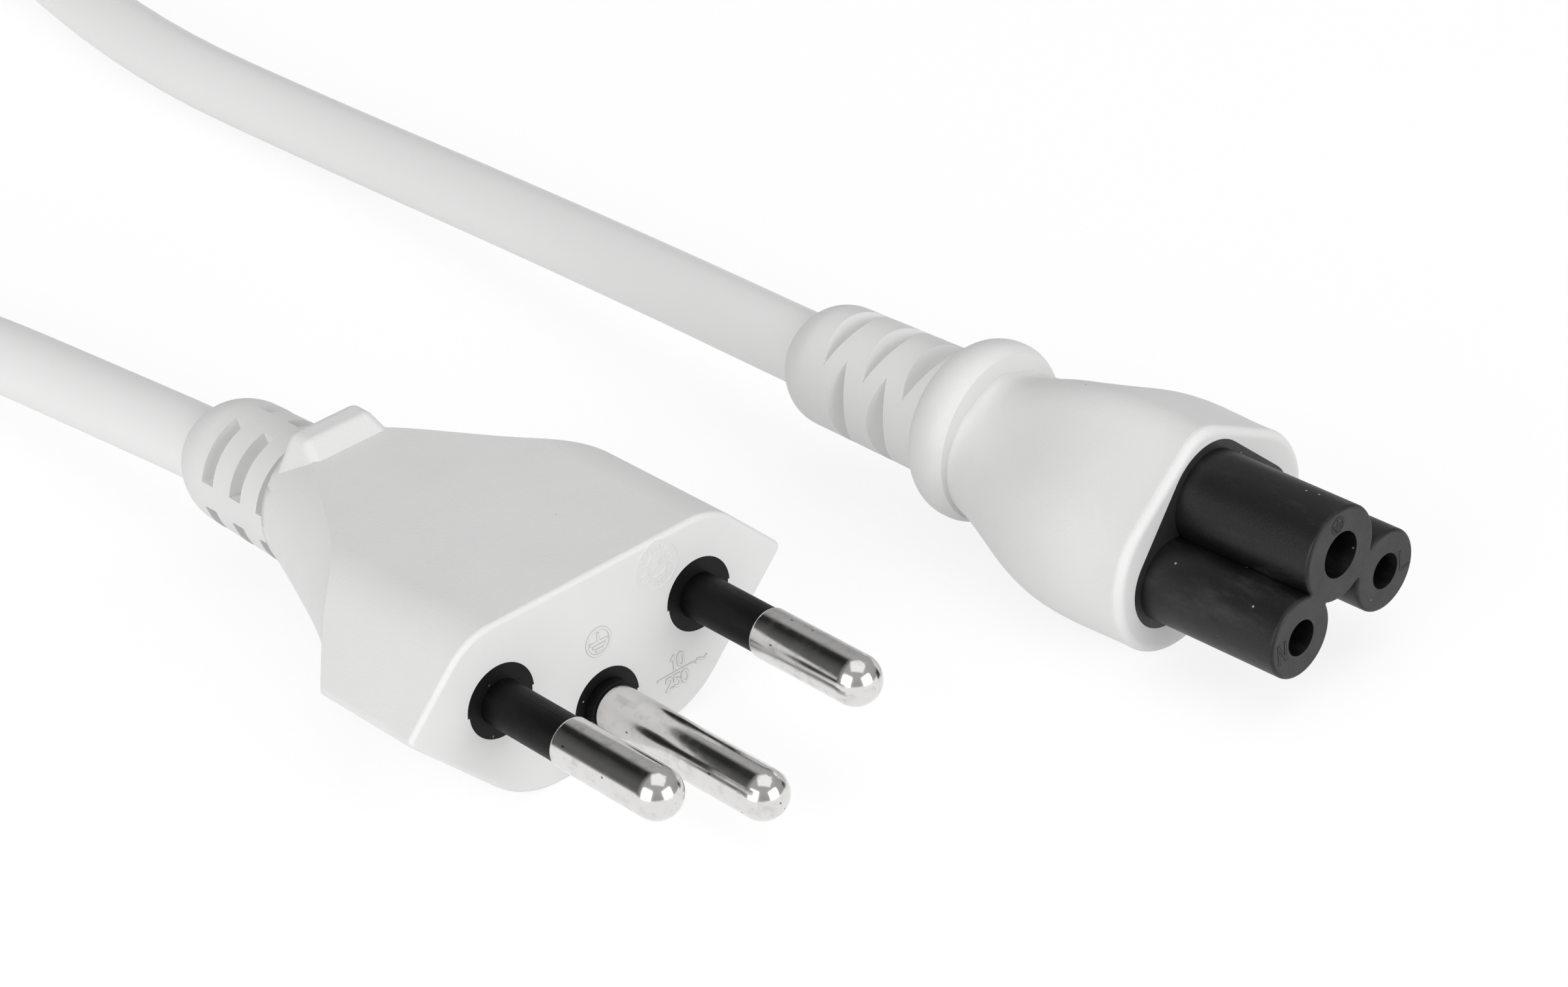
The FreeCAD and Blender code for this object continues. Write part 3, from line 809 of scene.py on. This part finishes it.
# even steps round the tail, with a close pair at each end of a flat slot
def reliefAngles(spec):
    count, split = reliefMaking["turnSteps"], reliefMaking["edgeSplit"]
    angles = [360.0 * step / count for step in range(count)]
    if "slotSpan" in spec:
        for centre in spec["slotAngles"][0]:
            for edge in (centre - spec["slotSpan"] / 2, centre + spec["slotSpan"] / 2):
                angles = [a for a in angles if abs(a - edge) > reliefMaking["edgeClear"]]
                angles += [edge - split, edge + split]
    return sorted(angles)


# the solid's own surface, cut off behind and closed there
def cutBody(build, spec, face):
    rear = -(face.to_3x3() @ Vector((0, 0, 1)))
    place = face @ (Vector((0, 0, -spec["cut"])) * mm)
    ends = bmesh.ops.bisect_plane(build, geom=build.verts[:] + build.edges[:] + build.faces[:],
                                  dist=reliefMaking["cutSlack"] * mm, plane_co=place, plane_no=rear,
                                  clear_outer=True)["geom_cut"]
    corners = [part for part in ends if isinstance(part, bmesh.types.BMVert)]
    bmesh.ops.remove_doubles(build, verts=corners, dist=reliefMaking["weldReach"] * mm)
    back = face.inverted()
    rim = [edge for edge in build.edges if edge.is_boundary
           and all(abs((back @ corner.co).z / mm + spec["cut"]) < reliefMaking["weldReach"]
                   for corner in edge.verts)]
    try:
        bmesh.ops.bridge_loops(build, edges=rim)
    except RuntimeError as problem:
        print(spec["title"], "stays open behind its relief:", problem)


# the tail, one closed section per angle, joined all the way round
def turnTail(build, spec, face):
    rows = []
    for angle in reliefAngles(spec):
        c, s = math.cos(math.radians(angle)), math.sin(math.radians(angle))
        rows.append([build.verts.new(face @ (Vector((radius * c, spec["axis"] + radius * s, -depth)) * mm))
                     for depth, radius in reliefSection(spec, angle)])
    made = []
    for row, after in zip(rows, rows[1:] + rows[:1]):
        for i in range(len(row)):
            j = (i + 1) % len(row)
            made.append(build.faces.new((row[i], row[j], after[j], after[i])))
    bmesh.ops.recalc_face_normals(build, faces=made)
    for side in made:
        side.smooth = True
        for edge in side.edges:
            if edge.calc_face_angle(0.0) > math.radians(reliefMaking["sharpAngle"]):
                edge.smooth = False


def makeShell(node, face):
    spec = reliefs[node]
    build = bmesh.new()
    build.from_mesh(bpy.data.objects[node].data)
    cutBody(build, spec, face)
    turnTail(build, spec, face)
    mesh = bpy.data.meshes.new(spec["title"])
    build.to_mesh(mesh)
    build.free()
    piece = newPiece(spec["title"], mesh, whiteFinish)
    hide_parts(node)
    return piece


makeShell("plug_body", plugFace)
connectorShell = makeShell("connector_body", noseFace)
print("strain reliefs turned")

# what lies at the connector end of the cord
connectorNodes = ["connector_insert"]
for pole in coreFinishes:
    connectorNodes += ["connector_" + pole + "_" + kind for kind in ("contact", "core", "wire")]


# floor and light
floorLook = {
    "height": -9.4,
    "below": 0.02,
    "half": 2500.0,
    "tone": (0.93, 0.93, 0.93),
    "toneDrop": 0.01,
    "cloudPerMetre": 40.0,
    "rough": 0.9,
    "glow": 1.12,
    "whiteShare": 0.72,
}


# pale paper that the camera and mirrors see as nearly white
def floorPaper():
    look = floorLook
    finish, tree, shader, here = newFinish("paleFloor")
    paper = noise(tree, here, look["cloudPerMetre"], detail=3.0)
    low = tuple(v - look["toneDrop"] for v in look["tone"])
    feed(tree, shader.inputs["Base Color"], blend(tree, paper, look["tone"], low))
    shader.inputs["Roughness"].default_value = look["rough"]
    shader.inputs["Specular IOR Level"].default_value = 0.0
    glow = addNode(tree, "ShaderNodeEmission", None, {"Color": (1, 1, 1, 1), "Strength": look["glow"]})
    rays = addNode(tree, "ShaderNodeLightPath").outputs
    seen = combine(tree, "MAXIMUM", rays["Is Camera Ray"], rays["Is Glossy Ray"])
    seen = combine(tree, "MAXIMUM", seen, rays["Is Transmission Ray"])
    mix = addNode(tree, "ShaderNodeMixShader")
    feed(tree, mix.inputs[0], combine(tree, "MULTIPLY", seen, look["whiteShare"]))
    feed(tree, mix.inputs[1], shader.outputs["BSDF"])
    feed(tree, mix.inputs[2], glow.outputs["Emission"])
    feed(tree, tree.nodes["Material Output"].inputs["Surface"], mix.outputs["Shader"])
    return finish


def makeFloor():
    half = floorLook["half"] * mm
    level = (floorLook["height"] - floorLook["below"]) * mm
    corners = [(x * half, y * half, level) for x, y in ((-1, -1), (1, -1), (1, 1), (-1, 1))]
    mesh = bpy.data.meshes.new("paleFloor")
    mesh.from_pydata(corners, [], [(0, 1, 2, 3)])
    floor = bpy.data.objects.new("paleFloor", mesh)
    scene.collection.objects.link(floor)
    mesh.materials.append(floorPaper())


# spans are of the direction looked in; a lamp has a name, a place, a size and a power
studio = {
    "roomLow": (0.36, 0.36, 0.36),
    "roomHigh": (0.44, 0.44, 0.44),
    "roomRise": (0.02, 0.55),
    "darkWall": (0.015, 0.015, 0.015),
    "dimWall": (0.11, 0.11, 0.11),
    "wallX": (-0.35, -0.55),
    "wallY": (0.34, 0.14),
    "wallZ": (0.0, 0.12),
    "dimY": (-0.15, -0.6),
    "lamps": [
        ("overheadBox", (0.15, 0.15, 1.1), 1.1, 2.6),
        ("frontBox", (0.95, 0.15, 0.26), 0.7, 4.5),
        ("leftBox", (0.10, -0.95, 0.36), 0.8, 5.0),
    ],
}


# even room, with a dark stretch of wall behind the cord that the pins mirror
def makeRoom():
    world = bpy.data.worlds.new("studioRoom")
    scene.world = world
    world.use_nodes = True
    tree = world.node_tree
    split = addNode(tree, "ShaderNodeSeparateXYZ")
    feed(tree, split.inputs["Vector"], addNode(tree, "ShaderNodeTexCoord").outputs["Generated"])
    x, y, z = split.outputs
    room = blend(tree, spread(tree, z, studio["roomRise"]), studio["roomLow"], studio["roomHigh"])
    wall = combine(tree, "MULTIPLY", spread(tree, x, studio["wallX"]), spread(tree, y, studio["wallY"]))
    wall = combine(tree, "MULTIPLY", wall, spread(tree, z, studio["wallZ"]))
    dark = blend(tree, spread(tree, y, studio["dimY"]), studio["darkWall"], studio["dimWall"])
    feed(tree, tree.nodes["Background"].inputs["Color"], blend(tree, wall, room, dark))


# soft boxes, all turned to the part's origin
def makeLamps():
    for name, place, size, power in studio["lamps"]:
        data = bpy.data.lights.new(name, "AREA")
        data.shape = "SQUARE"
        data.size = size
        data.energy = power
        lamp = bpy.data.objects.new(name, data)
        scene.collection.objects.link(lamp)
        lamp.location = place
        aim = -Vector(place)
        lamp.rotation_euler = aim.to_track_quat("-Z", "Y").to_euler()


makeFloor()
makeRoom()
makeLamps()
print("floor and light set")
